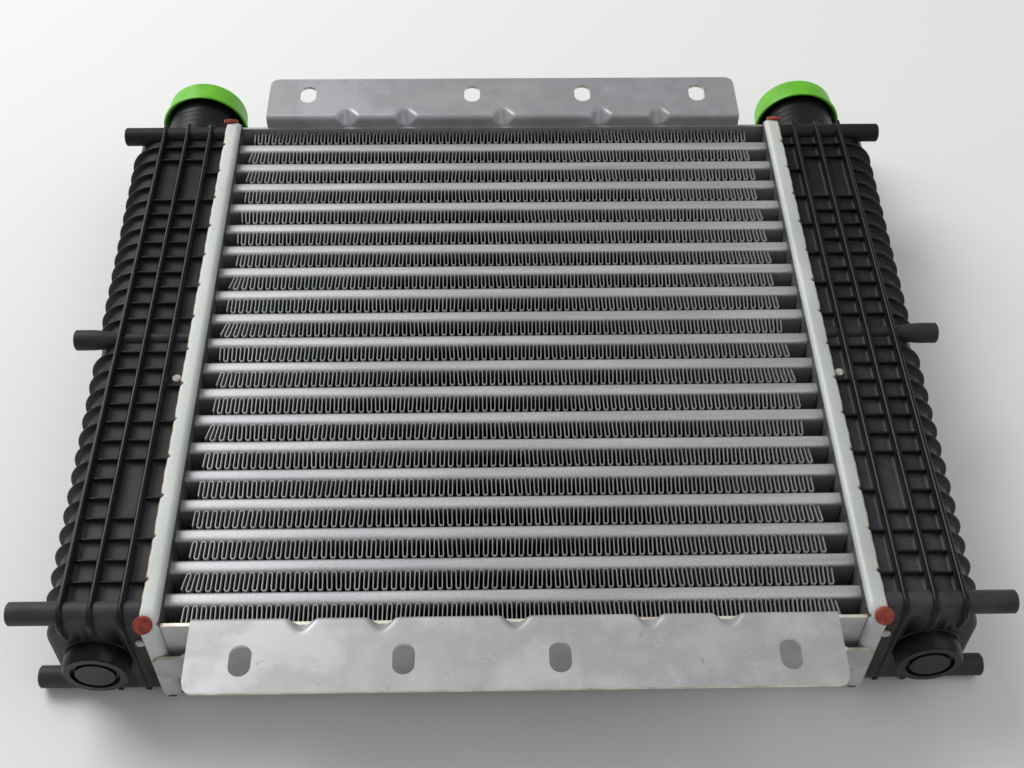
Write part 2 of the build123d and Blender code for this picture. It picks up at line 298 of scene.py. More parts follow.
def fin_line(half_length, half_height, seed):
    """The fold's middle line: straight legs joined by half circles.

    Slow sine waves along the fin lean the legs to and fro, and a lean that dies away with the
    distance from each end splays the last few. The ends are ragged by a little chance.
    """
    chance = np.random.default_rng(seed)
    radius = fin_period / 4
    legs = int(2 * half_length / (2 * radius)) // 2 * 2
    turn = np.linspace(0, pi, fin_crest_steps + 1)
    leg = np.arange(legs)[:, None]
    upward = np.where(leg % 2 == 0, 1.0, -1.0)
    x = -half_length + (leg + 0.5) * 2 * radius + radius * (1 - np.cos(turn))
    y = upward * (half_height - radius + radius * np.sin(turn))
    x, y = x.reshape(-1), y.reshape(-1)
    x, y = np.concatenate([x[:1], x, x[-1:]]), np.concatenate([-y[:1], y, -y[-1:]])
    phase = chance.uniform(0, 2 * pi, 3)
    lean = sum(size * np.sin(x * rate + start) for (rate, size), start in zip(fin_lean_waves, phase))
    ragged = chance.uniform(-0.5, 0.5, 2) * fin_ragged_end
    ends = np.array([-half_length, half_length]) - fin_shift + ragged
    x = np.interp(x, [x.min(), 0, x.max()], [ends[0], 0, ends[1]])
    closeness = np.exp(-(half_length - np.abs(x)) / fin_splay_reach)
    end_splay = chance.uniform(*fin_splay_range, 2) * (1, -1)
    splay = end_splay[(x > 0).astype(int)] * closeness * fin_splay
    x = x + (lean * fin_lean + splay) * y / half_height
    return np.stack([x, y], axis=-1)


def fin_patches(low, high, seed):
    """The folded sheet: the middle line, half a sheet to each side, carried down the core's depth.

    Its tone sets the painted shade: 1 at both faces of the core and 0 inside. Its two end strips are
    closed.
    """
    centre_x, centre_y = (low.x + high.x) / 2, (low.y + high.y) / 2
    half_height = (high.y - low.y) / 2 - fin_sheet / 2 - tube_swell
    line = fin_line((high.x - low.x) / 2 - fin_sheet, half_height, seed)
    along = np.gradient(line, axis=0)
    along /= np.linalg.norm(along, axis=1, keepdims=True)
    across = np.stack([-along[:, 1], along[:, 0]], axis=-1) * fin_sheet / 2
    left, right = line + across, line - across
    depths = np.array([low.z, low.z + fin_shade_depth, high.z - fin_shade_depth, high.z])
    tones = np.array([1.0, 0.0, 0.0, 1.0])
    sides = [(left, z) for z in depths] + [(right, z) for z in depths[::-1]]
    columns = []
    for side_line, z in sides:
        placed = side_line + (centre_x, centre_y)
        columns.append(np.column_stack([placed, np.full(len(placed), z)]))
    points, faces, tone, _ = patch(np.stack(columns, 1), close_columns=True, tone=np.tile(tones, 2))
    cut_edge = np.isin(np.arange(len(faces)) % len(sides), (len(depths) - 1, len(sides) - 1))
    caps = []
    for end in (0, len(line) - 1):
        ring = end * len(sides) + np.arange(len(sides))
        caps.append(np.stack([ring[:3], ring[1:4], ring[-2:-5:-1], ring[-1:-4:-1]], -1))
    caps = np.concatenate(caps)
    numbers = np.concatenate([cut_edge.astype(int), np.zeros(len(caps), int)])
    return [(points, np.concatenate([faces, caps]), tone, numbers)]


fin_edge_stops = [(0.3, fin_dull_edge), (0.65, fin_bright_edge)]
fin_materials = [fin_wall_painted_shade_finish(), patchy_finish("fin_sheet_edge", 0.45, 0.5, 70, fin_edge_stops)]
for seed, fin_node in enumerate(fin_nodes, 1):
    low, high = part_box(fin_node)
    folds = fin_patches(low, high, seed)
    make_piece(f"folded_{fin_node}", folds, fin_materials, fin_node)

# Headers: pans pressed from sheet, with a slot for every tube and a rim that is crimped over the
# foot of the tank. The crimped edge waves between small notches and shows its cut edge in tan.
header_low, header_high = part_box("header_right")
header_half_y = (header_high.y - header_low.y) / 2
header_half_z = (header_high.z - header_low.z) / 2
middle_y = (header_high.y + header_low.y) / 2
header_sheet = 0.0015
header_bend = 0.0028
header_corner = 0.008
crimp_bend = 0.0013
crimp_lip = 0.0042
crimp_wave = 0.00012
crimp_ripple = 0.00008
crimp_ripple_rate = 700
crimp_notch = 0.0013
crimp_notch_half_width = 0.0008
crimp_cut_columns = 6
rim_step = 0.0009
tube_pitch = 0.016
rib_pitch = 2 * tube_pitch / 3
cell_reach_y = 20
cell_reach_z = 1.6
header_dull_grey = (0.5, 0.53, 0.51)
header_pale_grey = (0.62, 0.645, 0.63)
header_cream = (0.58, 0.6, 0.54)
tan_oxide_stops = [(0.35, (0.42, 0.27, 0.13)), (0.6, (0.72, 0.62, 0.46))]
# The tube plate's dark colour is painted shade, for the plate lying in shade between the tubes.
plate_painted_shade_stops = [(0.35, (0.05, 0.048, 0.046)), (0.65, (0.13, 0.128, 0.125))]


def header_finish():
    """Satin pressed aluminium with a little sparkle, faint pale stains and dull smears."""
    material, nodes, links = new_finish("header_aluminium", (0.6, 0.62, 0.6), 0.55, 0.25)
    shader = nodes["Principled BSDF"]
    smears = object_noise(nodes, links, 35, (1, 0.5, 1))
    grain = object_noise(nodes, links, 1500, detail=2)
    greys = [(0.3, header_dull_grey), (0.6, header_pale_grey), (0.8, header_cream)]
    base = ramp(nodes, links, smears, greys)
    speck = ramp(nodes, links, grain, [(0.4, (0.85, 0.85, 0.85)), (0.6, (1, 1, 1))])
    links.new(mix(nodes, links, "MULTIPLY", 0.7, base, speck), shader.inputs["Base Color"])
    links.new(spread(nodes, links, smears, 0.5, 0.68), shader.inputs["Roughness"])
    add_bump(nodes, links, grain, 0.12, 0.0001)
    return material


def rim_path():
    """Points and outward directions round the header in the YZ plane: a rounded rectangle.

    The long sides have a point for each step, fine enough for the notches; the short ones have
    one for each four steps.
    """
    flat_y, flat_z = header_half_y - header_corner, header_half_z - header_corner
    count_y, count_z = int(2 * flat_y / rim_step), int(2 * flat_z / (4 * rim_step))
    turn = np.linspace(0, pi / 2, 10)[1:-1]
    along_y, along_z = np.linspace(-1, 1, count_y), np.linspace(-1, 1, count_z)
    places, outwards = [], []
    for quarter, (sy, sz) in enumerate(((1, 1), (-1, 1), (-1, -1), (1, -1))):
        angle = turn + quarter * pi / 2
        corner = np.stack([np.cos(angle), np.sin(angle)], -1)
        places.append(np.array([sy * flat_y, sz * flat_z]) + header_corner * corner)
        outwards.append(corner)
        if quarter % 2 == 0:
            side = np.stack([-sz * along_y * flat_y, np.full(count_y, sz * header_half_z)], -1)
            normal = np.tile([0.0, sz], (count_y, 1))
        else:
            side = np.stack([np.full(count_z, sy * header_half_y), sy * along_z * flat_z], -1)
            normal = np.tile([float(sy), 0.0], (count_z, 1))
        places.append(side)
        outwards.append(normal)
    return np.concatenate(places), np.concatenate(outwards)


def crimp_setback(y, z):
    """How far the crimped edge falls back along X: slow waves, and a notch at each second rib."""
    phase = y / (2 * rib_pitch)
    from_notch = (phase - 0.5 - np.round(phase - 0.5)) * 2 * rib_pitch
    on_long_side = np.abs(z) > header_half_z - header_sheet
    wave = crimp_wave * (1 + np.cos(2 * pi * (phase - 0.5))) / 2
    wave = wave + crimp_ripple * np.sin(y * crimp_ripple_rate)
    notch = crimp_notch * np.exp(-((from_notch / crimp_notch_half_width) ** 4))
    return np.where(on_long_side, wave + notch, crimp_wave)


def header_patches():
    """The rim's section, from the tube plate round the bend to the lip, carried round the pan."""
    places, outwards = rim_path()
    bend = np.linspace(0, pi / 2, 7)
    depth = header_high.x - header_low.x
    outer = [(header_bend * (1 - cos(a)), header_bend * (sin(a) - 1)) for a in bend]
    outer += [(depth - crimp_bend * (1 - sin(a)), -crimp_bend * (1 - cos(a))) for a in bend]
    outer += [(depth, -crimp_lip)]
    tight = header_bend - header_sheet
    inner = [(depth - header_sheet, -crimp_lip), (depth - header_sheet, -header_sheet)]
    for a in bend[::-1]:
        inner.append((header_sheet + tight * (1 - cos(a)), -header_sheet + tight * (sin(a) - 1)))
    section = np.array(outer + inner)
    lip_share = np.clip((section[:, 0] - depth / 2) / (depth / 2), 0, 1)
    setback = crimp_setback(places[:, 0], places[:, 1])[:, None] * lip_share
    x = header_low.x + section[:, 0] - setback
    y = middle_y + places[:, :1] + outwards[:, :1] * section[:, 1]
    z = middle_z + places[:, 1:] + outwards[:, 1:] * section[:, 1]
    rim = patch(np.stack([x, y, z], -1), close_rows=True, close_columns=True)
    columns = np.arange(len(rim[1])) % len(section)
    lip = len(outer) - 1
    cut = (columns > lip - crimp_cut_columns) & (columns <= lip)
    return [(*rim[:3], cut.astype(int)), *plate_patches()]


def plate_patches():
    """The tube plate: for every tube, a ring from its slot out to the edges of its own cell.

    The cell's outline is the slot's, stretched past the cell and clipped to it.
    """
    half_y, half_z = header_half_y - header_bend, header_half_z - header_bend
    patches = []
    for tube_node in tube_nodes:
        low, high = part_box(tube_node)
        slot_y, slot_z = tube_loop(0)
        offset = (low.y + high.y) / 2 - middle_y
        near = -half_y - offset if offset < tube_pitch - half_y else -tube_pitch / 2
        far = half_y - offset if offset > half_y - tube_pitch else tube_pitch / 2
        cell_y = np.clip(slot_y * cell_reach_y, near, far)
        cell_z = np.clip(slot_z * cell_reach_z, -half_z, half_z)
        rings = []
        for x, y, z in (
            (header_low.x, cell_y, cell_z),
            (header_low.x, slot_y, slot_z),
            (header_low.x + header_sheet, slot_y, slot_z),
            (header_low.x + header_sheet, cell_y, cell_z),
        ):
            rings.append(np.stack([np.full_like(y, x), y + (low.y + high.y) / 2, z + middle_z], -1))
        # Material 2 is the plate's dark painted shade.
        patches.append(patch(np.stack(rings), close_rows=True, close_columns=True, material=2))
    return patches


def make_pair(name, patches, materials, node):
    """Makes a piece of the right-hand end, and its mirror image at the left-hand end."""
    for side in ("right", "left"):
        mirrored = side == "left"
        make_piece(f"{name}_{side}", patches, materials, f"{node}_{side}", mirrored=mirrored)


header_materials = [
    header_finish(),
    patchy_finish("sheet_cut_edge", 0.55, 0.3, 140, tan_oxide_stops),
    patchy_finish("plate_aluminium_painted_shade", 0.65, 0.3, 120, plate_painted_shade_stops),
]
make_pair("crimped_header", header_patches(), header_materials, "header")

# Gaskets: black rubber rings moulded to the pan's outline. The crimp presses one between each
# header plate and the tank's foot, where it is out of sight.


def rubber_finish():
    """Black rubber with a faint grain."""
    material, nodes, links = new_finish("gasket_black_rubber", (0.02, 0.02, 0.02), 0.75)
    grain = object_noise(nodes, links, 900)
    links.new(spread(nodes, links, grain, 0.65, 0.85), nodes["Principled BSDF"].inputs["Roughness"])
    add_bump(nodes, links, grain, 0.2, 0.0001)
    return material


gasket_material = rubber_finish()
for side in ("right", "left"):
    for material_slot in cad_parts[f"gasket_{side}"].material_slots:
        material_slot.material = gasket_material

# Tanks: glass-filled plastic mouldings, each with a rounded outer side, a grid of ribs, four pegs,
# a blank boss and a hose port. The ribs are dark and a little glossy; dust dulls the pockets. The
# header's crimped edge holds each by its foot.
tank_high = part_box("tank_right")[1]
tank_inset = 0.0045
tank_half_y = header_half_y - tank_inset
tank_half_z = header_half_z - tank_inset
tank_foot_x = header_low.x + 0.0031
tank_edge_near = header_low.x + 0.05
tank_edge_far = header_low.x + 0.058
tank_shoulder = 0.016
tank_end_round = 0.003
tank_shade_span = (0.8, 0.98)
tank_side_tone = 0.6
tank_end_tone = 0.95
foot_inset = 0.0016
foot_thickness = 0.0033
rib_crest_share = 0.75
rib_foot_widths = (1.7, 1.12)
rib_foot_levels = (0.0, 0.14)
rib_sunk = 0.001
long_rib_x = header_high.x + 0.008 + 0.0125 * np.arange(3)
long_rib_height = 0.005
long_rib_edge_height = 0.0026
long_rib_faded_height = 0.0008
long_rib_half_width = 0.0016
long_rib_end_gap = 0.0015
long_rib_bend = tank_end_round + 0.001
long_rib_end_depths = (-0.024, 0.012, 0.016)
cross_rib_height = 0.0028
cross_rib_half_width = 0.0008
cross_ribs_per_side = 13
rib_gap_outer = (10, 11)
rib_gap_inner = (-9, -8)
peg_radius = 0.005
peg_bevel = 0.0007
peg_y = 0.1515
peg_z = 0.027
peg_tone = 0.25
thin_bar_radius = 0.0033
swell_start = 0.003
swell_length = 0.018
port_x = header_low.x + 0.0285
port_radius = 0.0205
port_bore = 0.0175
port_length = 0.0465
port_collar = 0.0213
port_ring_pitch = 0.0042
port_ring_height = 0.00004
port_tone = 0.7
boss_x = header_low.x + 0.031
boss_face_y = -0.166
boss_radius = 0.014
boss_groove_outer = 0.0102
boss_groove_inner = 0.0086
boss_groove_depth = 0.002
stud_from_header = 0.003
stud_y = -0.026
stud_z = 0.012
# Pocket colours: at the near end dust with a painted sheen, at the far end darker, with no painted
# sheen.
dust_and_sheen_pocket_stops = [(0.3, (0.035, 0.033, 0.037)), (0.7, (0.075, 0.07, 0.077))]
far_pocket_stops = [(0.3, (0.005, 0.005, 0.0055)), (0.7, (0.01, 0.01, 0.011))]
dark_rib_stops = [(0.3, (0.003, 0.0037, 0.004)), (0.7, (0.006, 0.0075, 0.008))]
pale_stud_stops = [(0.4, (0.4, 0.4, 0.38)), (0.6, (0.62, 0.62, 0.6))]


def tank_finish():
    """Black glass-filled plastic: the tone attribute makes the ribs dark and satin.

    The pockets between them are dusty, and lighter towards the near end, where a painted sheen is mixed
    in.
    """
    material, nodes, links = new_finish("tank_black_plastic", (0.03, 0.03, 0.033), 0.45)
    shader = nodes["Principled BSDF"]
    tone = nodes.new("ShaderNodeAttribute")
    tone.attribute_name = "tone"
    dust = object_noise(nodes, links, 55, detail=5)
    grain = object_noise(nodes, links, 1100, detail=3)
    dusty = ramp(nodes, links, dust, dust_and_sheen_pocket_stops)
    far_pocket = ramp(nodes, links, dust, far_pocket_stops)
    dark = ramp(nodes, links, dust, dark_rib_stops)
    # Mixed by nearness: a painted sheen lightens the pockets towards the near end.
    place = nodes.new("ShaderNodeTexCoord")
    split = nodes.new("ShaderNodeSeparateXYZ")
    nearness = nodes.new("ShaderNodeMapRange")
    nearness.inputs["From Min"].default_value = tank_half_y
    nearness.inputs["From Max"].default_value = -tank_half_y
    links.new(place.outputs["Object"], split.inputs["Vector"])
    links.new(split.outputs["Y"], nearness.inputs["Value"])
    pocket = mix(nodes, links, "MIX", nearness.outputs["Result"], far_pocket, dusty)
    links.new(mix(nodes, links, "MIX", tone.outputs["Fac"], pocket, dark), shader.inputs["Base Color"])
    shader.inputs["Specular IOR Level"].default_value = 0.25
    links.new(spread(nodes, links, tone.outputs["Fac"], 0.6, 0.3), shader.inputs["Roughness"])
    add_bump(nodes, links, grain, 0.25, 0.0001)
    return material


def tank_edge(y):
    """The tank's outermost X at a place along Y: a straight taper, widest at the port end."""
    return np.interp(y, [-tank_half_y, tank_half_y], [tank_edge_near, tank_edge_far])


def tank_section(edge, grow, start):
    """The upper half of the tank's section: flat top, round shoulder, flat side down to its middle."""
    radius = tank_shoulder + grow
    angle = np.linspace(pi / 2, 0, 13)
    top, outer = tank_half_z + grow, edge + grow
    flat = np.linspace(start, outer - radius, 8)[:-1]
    x = np.concatenate([flat, outer - radius + radius * np.cos(angle), [outer]])
    z = np.concatenate([np.full_like(flat, top), top - radius + radius * np.sin(angle), [0.0]])
    return x, z


def tank_wall():
    """The plain shell: the section carried along Y, drawn in at both ends for a round edge."""
    turn = np.linspace(0, pi / 2, 5)
    ends = tank_half_y - tank_end_round * (1 - np.sin(turn))
    draws = tank_end_round * (1 - np.cos(turn))
    y = np.concatenate([-ends[::-1], np.linspace(-0.95, 0.95, 11) * tank_half_y, ends])
    draw = np.concatenate([draws[::-1], np.zeros(11), draws])
    lines = []
    for place, inset in zip(y, draw):
        x, z = tank_section(tank_edge(place), -inset, tank_foot_x)
        x, z = np.concatenate([x, x[-2::-1]]), np.concatenate([z, -z[-2::-1]])
        lines.append(np.stack([x, np.full_like(x, place), z], -1))
    shell = np.stack(lines)
    shade = np.interp(shell[..., 2] / tank_half_z, tank_shade_span, [tank_side_tone, 0])
    patches = [patch(shell, close_columns=True, tone=shade)]
    for end in (0, -1):
        half = shell.shape[1] // 2 + 1
        upper = shell[end, :half]
        lower = shell[end, ::-1][:half]
        patches.append(patch(np.stack([upper, lower], 1), tone=tank_end_tone))
    return patches


def rib_section(half_width, height):
    """Across a rib, for the height at every path point: flared root, flank and round crest."""
    crest = half_width * rib_crest_share
    angle = np.linspace(0, pi, 7)
    foot = half_width * np.array(rib_foot_widths)
    offset = np.concatenate([foot, crest * np.cos(angle), -foot[::-1]])
    low = height * np.array(rib_foot_levels)
    level = np.concatenate([low, height - crest + crest * np.sin(angle), low[:, ::-1]], axis=1)
    return offset, np.maximum(level, 0)


def sweep_rib(path, outward, half_width, height):
    """Carries a rib's section along a path; outward is the way that the rib stands at each point.

    Its tone is the root of the share of its height, so only its foot is dusty. Both ends are closed.
    """
    heights = np.broadcast_to(height, len(path))[:, None]
    offset, level = rib_section(half_width, heights)
    sunk = np.full((len(path), 2), -rib_sunk)
    offset = np.concatenate([offset, [offset[-1], offset[0]]])
    level = np.concatenate([level, sunk], axis=1)
    along = np.gradient(path, axis=0)
    along /= np.linalg.norm(along, axis=1, keepdims=True)
    across = np.cross(along, outward)
    points = path[:, None] + across[:, None] * offset[:, None] + outward[:, None] * level[..., None]
    tone = np.clip(level / np.max(heights), 0, 1) ** 0.5
    body = patch(points, close_columns=True, tone=tone)
    columns = len(offset)
    quads = []
    for end in (0, len(path) - 1):
        ring = end * columns + np.roll(np.arange(columns), 1)
        first, second = ring[: columns // 2 + 1], ring[::-1][: columns // 2 + 1]
        quads.append(np.stack([first[:-1], first[1:], second[1:], second[:-1]], -1))
    caps = np.concatenate(quads)
    return [body, (body[0], caps, body[2], np.zeros(len(caps), int))]


def across_path(y, upper_start, lower_start):
    """A path over the tank's top, round its side and back below, with the outward directions."""
    upper_x, upper_z = tank_section(tank_edge(y), 0, upper_start)
    lower_x, lower_z = tank_section(tank_edge(y), 0, lower_start)
    x = np.concatenate([upper_x, lower_x[-2::-1]])
    z = np.concatenate([upper_z, -lower_z[-2::-1]])
    along = np.gradient(np.stack([x, z], -1), axis=0)
    along /= np.linalg.norm(along, axis=1, keepdims=True)
    outward = np.stack([-along[:, 1], np.zeros_like(x), along[:, 0]], -1)
    return np.stack([x, np.full_like(x, y), z], -1), outward


def cross_ribs():
    """The ribs across the tank: every second one starts at the header, and two pairs are broken."""
    patches = []
    up = np.array([0.0, 0.0, 1.0])
    for k in range(-cross_ribs_per_side, cross_ribs_per_side + 1):
        y = k * rib_pitch
        inner_start = header_high.x if k % 2 else long_rib_x[0]
        upper_start = inner_start
        if k in rib_gap_outer:
            upper_start = long_rib_x[2]
        if k in rib_gap_inner:
            upper_start = long_rib_x[1]
        if k:
            path, outward = across_path(y, upper_start, inner_start)
            patches += sweep_rib(path, outward, cross_rib_half_width, cross_rib_height)
        if k % 2 and upper_start > inner_start:
            x = np.linspace(inner_start, long_rib_x[0], 4)
            path = np.stack([x, np.full_like(x, y), np.full_like(x, tank_half_z)], -1)
            patches += sweep_rib(path, np.tile(up, (4, 1)), cross_rib_half_width, cross_rib_height)
    return patches


def long_rib(x, end_depth):
    """A rib along the tank: over the top, round the near end's edge, and fading down the end face."""
    angle = np.linspace(0, pi / 2, 8)
    edge_y, edge_z = tank_half_y - long_rib_bend, tank_half_z - long_rib_bend
    top_y = np.linspace(tank_half_y - long_rib_end_gap, -edge_y, 40)[:-1]
    bend_y, bend_z = -edge_y - long_rib_bend * np.sin(angle), edge_z + long_rib_bend * np.cos(angle)
    down_z = np.linspace(edge_z, end_depth, 12)[1:]
    y = np.concatenate([top_y, bend_y, np.full_like(down_z, -tank_half_y)])
    z = np.concatenate([np.full_like(top_y, tank_half_z), bend_z, down_z])
    height = np.concatenate([
        np.full_like(top_y, long_rib_height),
        np.interp(angle, [0, pi / 2], [long_rib_height, long_rib_edge_height]),
        np.linspace(long_rib_edge_height, long_rib_faded_height, len(down_z)),
    ])
    outward = np.concatenate([
        np.tile([0.0, 1.0], (len(top_y), 1)),
        np.stack([-np.sin(angle), np.cos(angle)], -1),
        np.tile([-1.0, 0.0], (len(down_z), 1)),
    ])
    path = np.stack([np.full_like(y, x), y, z], -1)
    turned_out = np.concatenate([np.zeros((len(y), 1)), outward], 1)
    return sweep_rib(path, turned_out, long_rib_half_width, height)


def lower_long_rib(x):
    """The same rib on the underside, straight from end to end; the cooler lies on its crest."""
    reach = tank_half_y - long_rib_end_gap
    y = np.linspace(-reach, reach, 40)
    path = np.stack([np.full_like(y, x), y, np.full_like(y, -tank_half_z)], -1)
    downward = np.tile([0.0, 0.0, -1.0], (len(y), 1))
    return sweep_rib(path, downward, long_rib_half_width, long_rib_height)


def turned(profile, centre, axis, steps=48, tone=0.0, material=0):
    """A surface of revolution: (radius, distance along the axis) pairs turned about an axis."""
    radius, along = np.array(profile).T
    angle = np.linspace(0, 2 * pi, steps, endpoint=False)[:, None]
    forward = np.array(axis, float) / np.linalg.norm(axis)
    first = np.cross(forward, np.eye(3)[np.argmin(np.abs(forward))])
    first /= np.linalg.norm(first)
    second = np.cross(forward, first)
    points = (
        np.array(centre)
        + (radius * np.cos(angle))[..., None] * first
        + (radius * np.sin(angle))[..., None] * second
        + (along * np.ones_like(angle))[..., None] * forward
    )
    return patch(points, close_rows=True, tone=tone, material=material)


def box_patch(low, high, tone=0.0):
    """A plain block between two corners."""
    x, y, z = np.array([low, high]).T
    ring = [(x[0], z[0]), (x[1], z[0]), (x[1], z[1]), (x[0], z[1])]
    points = np.array([[(a, place, b) for a, b in ring] for place in y])
    sides = patch(points, close_columns=True, tone=tone)
    caps = np.array([[0, 1, 2, 3], [4, 7, 6, 5]])
    faces = np.concatenate([sides[1], caps])
    return sides[0], faces, sides[2], np.zeros(len(faces), int)


def peg_patches():
    """Four pegs with their bars across the tank, as turned profiles.

    The middle one swells out of a thin bar by a smooth step: 3 s squared less 2 s cubed.
    """
    start, end = header_high.x + 0.0001, tank_high.x
    tip = [(peg_radius, end - peg_bevel), (peg_radius - peg_bevel, end), (0, end)]
    plain = [(0, start), (peg_radius, start), *tip]
    swell = np.linspace(0, 1, 9)
    radii = thin_bar_radius + (peg_radius - thin_bar_radius) * (3 * swell**2 - 2 * swell**3)
    lengths = long_rib_x[2] - swell_start + swell * swell_length
    middle = [(0, start), (thin_bar_radius, start), *zip(radii, lengths), *tip]
    patches = []
    for y, z, profile in (
        (-peg_y, peg_z, plain), (-peg_y, -peg_z, plain), (peg_y, peg_z, plain), (0.0, peg_z, middle),
    ):
        patches.append(turned(profile, (0, y, z), (1, 0, 0), tone=peg_tone))
    return patches


def end_patches():
    """The port stub at the far end and the blank boss at the near end, as turned profiles.

    The stub flares at its root, carries faint sine rings and a collar, and is bored to the tank.
    A nub at the far end of the first long rib and two pale studs beside the header are turned too.
    """
    wall = tank_half_y - 0.0005
    mouth = wall + port_length
    rings = np.arange(wall + 0.003, mouth - 0.008, 0.0006)
    ripple = port_radius + port_ring_height * np.sin(rings * 2 * pi / port_ring_pitch)
    stub = [(port_radius + 0.0027, wall), (port_radius + 0.0014, wall + 0.0008)]
    stub += [(port_radius + 0.0003, wall + 0.002), *zip(ripple, rings)]
    stub += [(port_radius, mouth - 0.0055), (port_collar, mouth - 0.0045)]
    stub += [(port_collar, mouth - 0.0033), (port_radius, mouth - 0.0022)]
    stub += [(port_radius, mouth), (port_bore, mouth), (port_bore, wall - 0.002)]
    face, groove = boss_face_y, boss_face_y + boss_groove_depth
    boss = [(boss_radius + 0.0012, -wall), (boss_radius + 0.0002, -wall - 0.001)]
    boss += [(boss_radius, face + 0.001), (boss_radius - 0.0008, face)]
    boss += [(boss_groove_outer + 0.0002, face), (boss_groove_outer, groove)]
    boss += [(boss_groove_inner, groove), (boss_groove_inner - 0.0002, face), (0.0, face)]
    nub = [(0.0026, 0), (0.0026, 0.003), (0.0021, 0.0042), (0.0011, 0.0049), (0, 0.005)]
    nub_place = (long_rib_x[0], tank_half_y - 0.0035, tank_half_z)
    stud = [(0.0021, 0), (0.0021, 0.0008), (0.0016, 0.0012), (0, 0.0012)]
    stud_x = header_high.x + stud_from_header
    return [
        turned(stub, (port_x, 0, 0), (0, 1, 0), steps=96, tone=port_tone),
        turned(boss, (boss_x, 0, 0), (0, 1, 0), steps=64, tone=tank_end_tone),
        turned(nub, nub_place, (0, 0, 1), steps=24, tone=0.9),
        turned(stud, (stud_x, stud_y, tank_half_z), (0, 0, 1), steps=24, material=1),
        turned(stud, (stud_x, -tank_half_y, stud_z), (0, -1, 0), steps=24, material=1),
    ]


def tank_patches():
    """All of one tank, moved from the core's centre to its place."""
    foot_y, foot_z = header_half_y - foot_inset, header_half_z - foot_inset
    foot_low = (tank_foot_x, -foot_y, -foot_z)
    foot_high = (tank_foot_x + foot_thickness, foot_y, foot_z)
    patches = [box_patch(foot_low, foot_high), *tank_wall(), *cross_ribs()]
    for x, depth in zip(long_rib_x, long_rib_end_depths):
        patches += [*long_rib(x, depth), *lower_long_rib(x)]
    patches += [*peg_patches(), *end_patches()]
    return [(p + (0, middle_y, middle_z), f, t, m) for p, f, t, m in patches]


tank_materials = [tank_finish(), patchy_finish("pale_stud_plastic", 0.5, 0.0, 800, pale_stud_stops)]
make_pair("ribbed_tank", tank_patches(), tank_materials, "tank")

# Port caps: soft cups of bright green polyethylene with a turned-out lip. They are pushed over the
# stubs by hand and keep dirt out of the tanks until the hoses go on.
cap_low, cap_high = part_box("port_cap_right")
cap_body = (cap_high.x - cap_low.x) / 2
cap_lip = cap_body + 0.0019
cap_wall = 0.0011
cap_skirt = 0.0025
cap_edge = 0.0015
cap_deep_green = (0.115, 0.45, 0.012)
cap_light_green = (0.175, 0.58, 0.028)


def cap_finish():
    """Bright green polyethylene: waxy, a little light gets into it."""
    material, nodes, links = new_finish("cap_green_plastic", (0.13, 0.5, 0.03), 0.42)
    shader = nodes["Principled BSDF"]
    shader.inputs["Subsurface Weight"].default_value = 0.15
    shader.inputs["Subsurface Radius"].default_value = (0.002, 0.004, 0.001)
    shader.inputs["Subsurface Scale"].default_value = 0.5
    cloud = object_noise(nodes, links, 90)
    shade = ramp(nodes, links, cloud, [(0.3, cap_deep_green), (0.7, cap_light_green)])
    links.new(shade, shader.inputs["Base Color"])
    add_bump(nodes, links, cloud, 0.1, 0.0003)
    return material


def cap_patches():
    """The cap's section from the middle of its face round the lip to the middle inside."""
    face, mouth = cap_high.y, cap_low.y - cap_skirt
    turn = np.linspace(0, pi / 2, 6)
    section = [(0, face - 0.0006), (cap_body - 0.006, face - 0.0006), (cap_body - 0.0045, face)]
    for a in turn:
        section.append((cap_body - cap_edge + cap_edge * sin(a), face - cap_edge + cap_edge * cos(a)))
    section += [(cap_body + 0.0001, mouth + 0.0035), (cap_lip - 0.0002, mouth + 0.0022)]
    section += [(cap_lip, mouth + 0.0012), (cap_lip - 0.0003, mouth), (cap_lip - 0.0012, mouth)]
    section += [(cap_body - cap_wall, mouth + 0.0028), (cap_body - cap_wall, face - 0.002)]
    section += [(0, face - 0.002)]
    return [turned(section, (port_x, 0, middle_z), (0, 1, 0), steps=96)]


make_pair("green_cap", cap_patches(), [cap_finish()], "port_cap")

# Corner plugs: small discs of red-brown rubber with a low domed face and a dusty bloom. One is set
# on the rounded upper corner at each end of both pans.
plug_low, plug_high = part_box("corner_plug_far_right")
plug_radius = (plug_high.x - plug_low.x) / 2
plug_thickness = 0.002
plug_edge = 0.0005
plug_dome = 0.0003
plug_bloom_stops = [(0.35, (0.2, 0.02, 0.01)), (0.65, (0.36, 0.06, 0.03))]


def plug_patches(side):
    """A disc with rounded edges and a low dome, square to the header's rounded corner."""
    reach = header_corner * cos(pi / 4)
    centre = np.array([
        (plug_low.x + plug_high.x) / 2,
        middle_y + side * (header_half_y - header_corner + reach),
        middle_z + header_half_z - header_corner + reach,
    ])
    turn = np.linspace(0, pi / 2, 5)
    face = plug_thickness - plug_dome
    section = [(0.0, 0.0), (plug_radius, 0.0)]
    section += [(plug_radius - plug_edge * (1 - cos(a)), face - plug_edge * (1 - sin(a))) for a in turn]
    section += [(plug_radius / 2, plug_thickness - plug_dome / 3), (0.0, plug_thickness)]
    return [turned(section, centre, (0, side, 1))]


plug_material = patchy_finish("plug_red_rubber", 0.55, 0.0, 400, plug_bloom_stops)
for end, sign in (("near", -1), ("far", 1)):
    make_pair(f"red_plug_{end}", plug_patches(sign), [plug_material], f"corner_plug_{end}")

